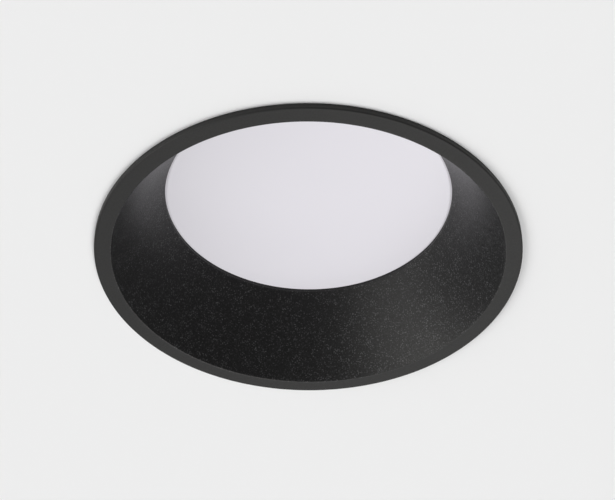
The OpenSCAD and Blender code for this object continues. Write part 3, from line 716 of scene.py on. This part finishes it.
def smooth_path(points, step=0.6):
    """Catmull-Rom curve through the points, resampled."""
    p = [np.array(q, float) for q in points]
    p = [2 * p[0] - p[1]] + p + [2 * p[-1] - p[-2]]
    out = []
    for i in range(1, len(p) - 2):
        a, b, c, d_ = p[i - 1], p[i], p[i + 1], p[i + 2]
        n = max(2, int(np.linalg.norm(c - b) / step))
        for k in range(n):
            t = k / n
            out.append(0.5 * ((2 * b) + (-a + c) * t + (2 * a - 5 * b + 4 * c - d_) * t * t + (-a + 3 * b - 3 * c + d_) * t ** 3))
    out.append(p[-2])
    return out


drop = math.radians(29)
coil_r, wire_r, coil_y0, pitch = 2.95, 0.55, -4.6, 1.25
turn = 360 * 7 + 90 - 29
y1 = coil_y0 + pitch * turn / 360
steps = int(turn / 7.5)
leg_a = [(px - coil_r - 0.72, coil_y0, pz + 6.4), (px - coil_r - 0.7, coil_y0, pz + 4.8), (px - coil_r - 0.4, coil_y0, pz + 2.8), (px - coil_r - 0.1, coil_y0, pz + 1.2)]
coil = []
for i in range(steps + 1):
    a = math.radians(180 + turn * i / steps)
    coil.append((px + coil_r * math.cos(a), coil_y0 + pitch * turn / 360 * i / steps, pz + coil_r * math.sin(a)))
leg_b = [(px + s * math.cos(drop) + z * math.sin(drop), y1, pz - s * math.sin(drop) + z * math.cos(drop))
         for s, z in [(1.5, -coil_r), (5, -3.08), (9, -3.32), (14, -3.55), (20, -3.62), (26, -3.62)]]
path = smooth_path(leg_a + [coil[0]], 0.6)[:-1] + coil[:-1] + smooth_path([coil[-1]] + leg_b, 0.8)
for side, sg in (("right", 1), ("left", -1)):
    v, f = tube(path, wire_r, 14, 0.18)
    if sg < 0:
        v = [(-q[0], q[1], q[2]) for q in v]
        f = [tuple(reversed(q)) for q in f]
    o = build(f"spring_wire_{side}", v, f, M["spring"], None, 50, (f"clip_spring_{side}",))
    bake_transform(o)

# ------------------------------------------------------------------ parts of the driver
def capacitor(x, y, r, h):
    """Can in a shrink sleeve with a pale stripe and a bare top; returns vertices, faces and material numbers."""
    prof = rounded([(0, 0), (r, 0, 0.5), (r, 1.7, 0.2), (r - 0.3, 2.1, 0.2), (r - 0.3, 2.7, 0.2), (r, 3.1, 0.2),
                    (r, h, 0.55), (r - 0.9, h, 0.15), (r - 1.05, h - 0.22, 0.1), (0, h - 0.22)], 4)
    n = 72
    v, f = lathe(prof, n, closed=False)
    m = len(prof)
    bare = min(i for i, q in enumerate(prof) if q[1] > h - 0.25 and q[0] < r - 0.8)
    kind = []
    for i in range(len(f)):
        turn_i, j = divmod(i, m - 1)
        kind.append(1 if j >= bare else (2 if turn_i % n < 9 and j > 0 else 0))
    return [(a + x, b + y, c + pcb_top) for a, b, c in v], f, kind


def capacitors(name, node, items):
    verts, faces, kinds = [], [], []
    for it in items:
        v, f, k = capacitor(*it)
        faces += [tuple(i + len(verts) for i in q) for q in f]
        verts += v
        kinds += k
    me = bpy.data.meshes.new(name)
    me.from_pydata([tuple(float(x) * MM for x in q) for q in verts], [], faces)
    for key in ("sleeve", "can", "stripe"):
        me.materials.append(M[key])
    me.polygons.foreach_set("material_index", kinds)
    bm = bmesh.new()
    bm.from_mesh(me)
    bmesh.ops.remove_doubles(bm, verts=bm.verts, dist=1e-7)
    bmesh.ops.recalc_face_normals(bm, faces=bm.faces)
    bm.to_mesh(me)
    bm.free()
    me.polygons.foreach_set("use_smooth", [True] * len(me.polygons))
    me.set_sharp_from_angle(angle=math.radians(38))
    o = bpy.data.objects.new(name, me)
    bpy.context.scene.collection.objects.link(o)
    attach(o, "housing")
    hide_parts(node)


capacitors("input_capacitor_can", "input_capacitor", [(8, -12, 5.2, 15.5)])
capacitors("output_capacitor_cans", "output_capacitors", [(24, -15, 4.1, 12.4), (24, -5, 4.1, 12.4)])

# toroidal choke: two windings of enamelled wire with their leads
cx, cy, cz = -22.5, 11.5, pcb_top + 6.4
verts, faces = [], []
for side_a in (0, 180):
    loop = []
    turns, steps_t = 9, 30
    for i in range(turns * steps_t + 1):
        t = i / (turns * steps_t)
        phi = math.radians(side_a + 12 + 156 * t)
        th = 2 * math.pi * turns * t
        c, q = math.cos(th), math.sin(th)
        rr = 4.4 + 1.66 * math.copysign(abs(c) ** 0.45, c)
        zz = 2.86 * math.copysign(abs(q) ** 0.45, q)
        loop.append(np.array([rr * math.cos(phi), rr * math.sin(phi), zz]))
    zz = 1.4 if side_a == 0 else -1.4
    a0, a1 = loop[0], loop[-1]
    lead = 6.9 if side_a == 0 else 6.2
    first = [(math.copysign(lead - 0.3, a0[0]), -6.2, zz), (math.copysign(lead, a0[0]), -2.6, zz), (math.copysign(lead - 0.1, a0[0]), a0[1] * 0.5, zz * 0.5)]
    last = [(math.copysign(lead - 0.1, a1[0]), a1[1] * 0.5, -zz * 0.5), (math.copysign(lead, a1[0]), -2.6, -zz), (math.copysign(lead - 0.3, a1[0]), -6.2, -zz)]
    wire = smooth_path(first + [loop[0]], 0.4)[:-1] + loop[:-1] + smooth_path([loop[-1]] + last, 0.4)
    world_pts = [(cx + p_[0], cy - p_[2], cz + p_[1]) for p_ in wire]
    v, f = tube(world_pts, 0.35, 10, 0.08)
    faces += [tuple(i + len(verts) for i in q_) for q_ in f]
    verts += list(v)
build("choke_coils", verts, faces, M["copper"], "housing", 50, ("choke_winding",))

# earth wire, green with a yellow stripe down each side
bi = b_in
route = [(-25.5, -27, bi + 1.5), (-28.8, -27, bi + 1.5), (-31, -26.9, bi + 2.4), (-32.8, -26.5, bi + 4), (-34.6, -25.4, bi + 5.8),
         (-36.2, -23.4, bi + 7.6), (-37, -20.4, bi + 9), (-37.3, -16, bi + 10), (-37.3, -9, bi + 10.8), (-37.2, 0, bi + 11.2),
         (-36.8, 9, bi + 11.1), (-35.6, 16, bi + 10.8), (-32.6, 21, bi + 10.4), (-28, 23.8, bi + 10), (-22, 24.9, bi + 9.6),
         (-16, 24.6, bi + 9.2), (-12.2, 23, bi + 8.9), (-10.4, 20.6, bi + 8.8), (-10, 18, bi + 8.8), (-10, 15.5, bi + 8.8)]
v, f = tube(smooth_path(route, 0.7), 0.85, 16, 0.1)
wire_obj = build("earth_wire_striped", v, f, None, "housing", 50, ("earth_wire",), [M["earth_green"], M["earth_yellow"]])
wire_obj.data.polygons.foreach_set("material_index", [1 if len(p_.vertices) == 4 and (p_.index % 16) in (1, 2, 9, 10) else 0 for p_ in wire_obj.data.polygons])

# ------------------------------------------------------------------ CAD nodes: materials and broken edges
LOOK = {
    "diffuser_seal": "silicone", "reflector_cup": "white_plastic", "led_board": "led_pcb", "led_packages": "phosphor",
    "led_connector": "ivory", "led_board_screws": "zinc_screw", "thermal_pad": "thermal", "heat_sink": "heat_sink",
    "heat_sink_fins": "heat_sink", "body_seal": "black_rubber", "body_screws": "steel", "wire_grommet": "black_rubber",
    "led_wires": "leads", "driver_box": "box", "driver_box_screws": "zinc_screw", "driver_board": "pcb",
    "driver_board_screws": "zinc_screw", "transformer_core": "ferrite", "transformer_winding": "tape",
    "choke_core": "toroid", "fuse": "fuse", "varistor": "blue", "bridge_rectifier": "epoxy", "terminal_block": "ivory",
    "terminal_screws": "brass", "earth_tag": "brass", "earth_screw": "green_screw",
    "lid_seal": "silicone", "lid_hinge_pin": "steel", "lid": "box", "lid_screws": "steel", "gland_body": "polyamide",
    "gland_washer": "black_rubber", "gland_locknut": "polyamide", "gland_seal": "gland_rubber",
    "gland_thrust_ring": "acetal", "gland_nut": "polyamide",
}
for side in ("right", "left"):
    LOOK.update({f"clip_bracket_{side}": "zinc_y", f"clip_screws_{side}": "steel", f"clip_pin_{side}": "steel",
                 f"clip_arm_{side}": "zinc", f"clip_pad_{side}": "clear"})
SOFTEN = {  # node: width of the broken edge, mm
    "heat_sink": 0.3, "heat_sink_fins": 0.22, "driver_box": 0.45, "lid": 0.45, "gland_body": 0.25, "gland_nut": 0.35,
    "gland_locknut": 0.3, "body_screws": 0.12, "lid_screws": 0.12, "terminal_block": 0.25, "transformer_core": 0.3,
    "gland_seal": 0.2, "gland_thrust_ring": 0.12, "lid_hinge_pin": 0.15, "driver_board": 0.1, "bridge_rectifier": 0.1,
    "terminal_screws": 0.15, "driver_board_screws": 0.08, "driver_box_screws": 0.1, "fuse": 0.12,
}
for side in ("right", "left"):
    SOFTEN.update({f"clip_bracket_{side}": 0.16, f"clip_arm_{side}": 0.16, f"clip_pad_{side}": 0.3,
                   f"clip_pin_{side}": 0.15, f"clip_screws_{side}": 0.1})
for n, o in nodes.items():
    if o.hide_render:
        continue
    o.data.materials.clear()
    o.data.materials.append(M[LOOK[n]])
    if o.data.has_custom_normals:
        o.data.attributes.remove(o.data.attributes["custom_normal"])
    for name in ("sharp_edge", "sharp_face"):
        if name in o.data.attributes:
            o.data.attributes.remove(o.data.attributes[name])
    o.data.polygons.foreach_set("use_smooth", [True] * len(o.data.polygons))
    w = o.modifiers.new("weld", "WELD")
    w.merge_threshold = 2e-6
    dsv = o.modifiers.new("planes", "DECIMATE")
    dsv.decimate_type = "DISSOLVE"
    dsv.angle_limit = math.radians(0.4)
    b = o.modifiers.new("edges", "BEVEL")
    b.width = SOFTEN.get(n, 0.1) * MM
    b.segments = 2
    b.limit_method = "ANGLE"
    b.angle_limit = math.radians(34)
    b.use_clamp_overlap = True
    b.harden_normals = True

# ------------------------------------------------------------------ soffit, light and camera
bm = bmesh.new()
ring_in = [bm.verts.new((0.0823 * math.cos(2 * math.pi * i / 192), 0.0823 * math.sin(2 * math.pi * i / 192), 0.00003)) for i in range(192)]
ring_out = [bm.verts.new((4.0 * math.cos(2 * math.pi * i / 192), 4.0 * math.sin(2 * math.pi * i / 192), 0.00003)) for i in range(192)]
for i in range(192):
    k = (i + 1) % 192
    bm.faces.new((ring_in[i], ring_in[k], ring_out[k], ring_out[i]))
me = bpy.data.meshes.new("soffit")
bm.to_mesh(me)
bm.free()
soffit = bpy.data.objects.new("soffit", me)
bpy.context.scene.collection.objects.link(soffit)
s = Surface("soffit_paint", (0.84, 0.84, 0.84), 0.9, 0.0, 0.0)
back = s.new("ShaderNodeNewGeometry")
clear = s.new("ShaderNodeBsdfTransparent")
mix = s.new("ShaderNodeMixShader")
s.link(back.outputs["Backfacing"], mix.inputs[0])
s.link(s.b.outputs[0], mix.inputs[1])
s.link(clear.outputs[0], mix.inputs[2])
s.link(mix.outputs[0], s.out.inputs[0])
me.materials.append(s.m)
me.update()
if me.polygons[0].normal.z > 0:
    me.flip_normals()

world = bpy.data.worlds.new("studio")
bpy.context.scene.world = world
world.use_nodes = True
bg = [n for n in world.node_tree.nodes if n.type == "BACKGROUND"][0]
wt = world.node_tree
way = wt.nodes.new("ShaderNodeTexCoord")
up = wt.nodes.new("ShaderNodeSeparateXYZ")
wt.links.new(way.outputs["Generated"], up.inputs[0])
fade = wt.nodes.new("ShaderNodeMapRange")
fade.inputs["From Min"].default_value, fade.inputs["From Max"].default_value = -0.1, 0.25
fade.inputs["To Min"].default_value, fade.inputs["To Max"].default_value = 0.1, 1.0
wt.links.new(up.outputs["Z"], fade.inputs["Value"])
seen = wt.nodes.new("ShaderNodeLightPath")
pale = wt.nodes.new("ShaderNodeMix")
wt.links.new(seen.outputs["Is Camera Ray"], pale.inputs[0])
wt.links.new(fade.outputs[0], pale.inputs[2])
pale.inputs[3].default_value = 0.82
wt.links.new(pale.outputs[0], bg.inputs[1])
bg.inputs[0].default_value = (1, 1, 1, 1)


def sun(name, direction, strength, angle):
    """Light that travels along direction."""
    l = bpy.data.lights.new(name, "SUN")
    l.energy, l.angle = strength, math.radians(angle)
    o = bpy.data.objects.new(name, l)
    o.rotation_mode = "QUATERNION"
    o.rotation_quaternion = Vector(direction).to_track_quat("-Z", "Y")
    bpy.context.scene.collection.objects.link(o)
    return o


def source(name, azimuth, below, strength, angle):
    """Soft light from a point of the room below the soffit; azimuth 0 is +X and 90 is +Y."""
    a, e = math.radians(azimuth), math.radians(below)
    return sun(name, (-math.cos(a) * math.cos(e), -math.sin(a) * math.cos(e), math.sin(e)), strength, angle)


source("left", 180, 39, 1.17, 42)
source("left_low", 213, 21, 0.76, 44)
source("far_low", 90, 20, 0.34, 40)
source("far_high", 45, 56, 0.96, 40)
source("below", 45, 76, 0.96, 40)
# these reach only what is above the soffit
sun("top_key", (-0.5, 0.8, -0.9), 2.1, 45)
sun("top_left", (1.0, 0.25, -0.4), 1.3, 60)
sun("top_back", (0.3, -1.0, -0.6), 1.6, 60)

cam_data = bpy.data.cameras.new("camera")
cam = bpy.data.objects.new("camera", cam_data)
bpy.context.scene.collection.objects.link(cam)
bpy.context.scene.camera = cam
D, el = 0.7425, math.radians(41.2)
cam.location = (0.0, -D * math.cos(el), -D * math.sin(el))
cam_data.sensor_width = 36.0
cam_data.lens = 1920.6 / 615 * 36.0
cam_data.clip_start, cam_data.clip_end = 0.05, 50
cam.rotation_mode = "QUATERNION"
look = Vector((0, math.cos(el), math.sin(el))).to_track_quat("-Z", "Y")
# the origin sits a little right of and below the frame's middle, and the photo is turned very slightly
pan, tilt, roll = math.atan(0.8 / 1920.6), math.atan(6.3 / 1920.6), math.radians(0.3)
cam.rotation_quaternion = look @ Matrix.Rotation(pan, 3, "Y").to_quaternion() @ Matrix.Rotation(tilt, 3, "X").to_quaternion() @ Matrix.Rotation(roll, 3, "Z").to_quaternion()

scene = bpy.context.scene
scene.view_settings.view_transform = "Standard"
scene.view_settings.look = "None"
scene.view_settings.exposure = 0.0
scene.view_settings.gamma = 1.0
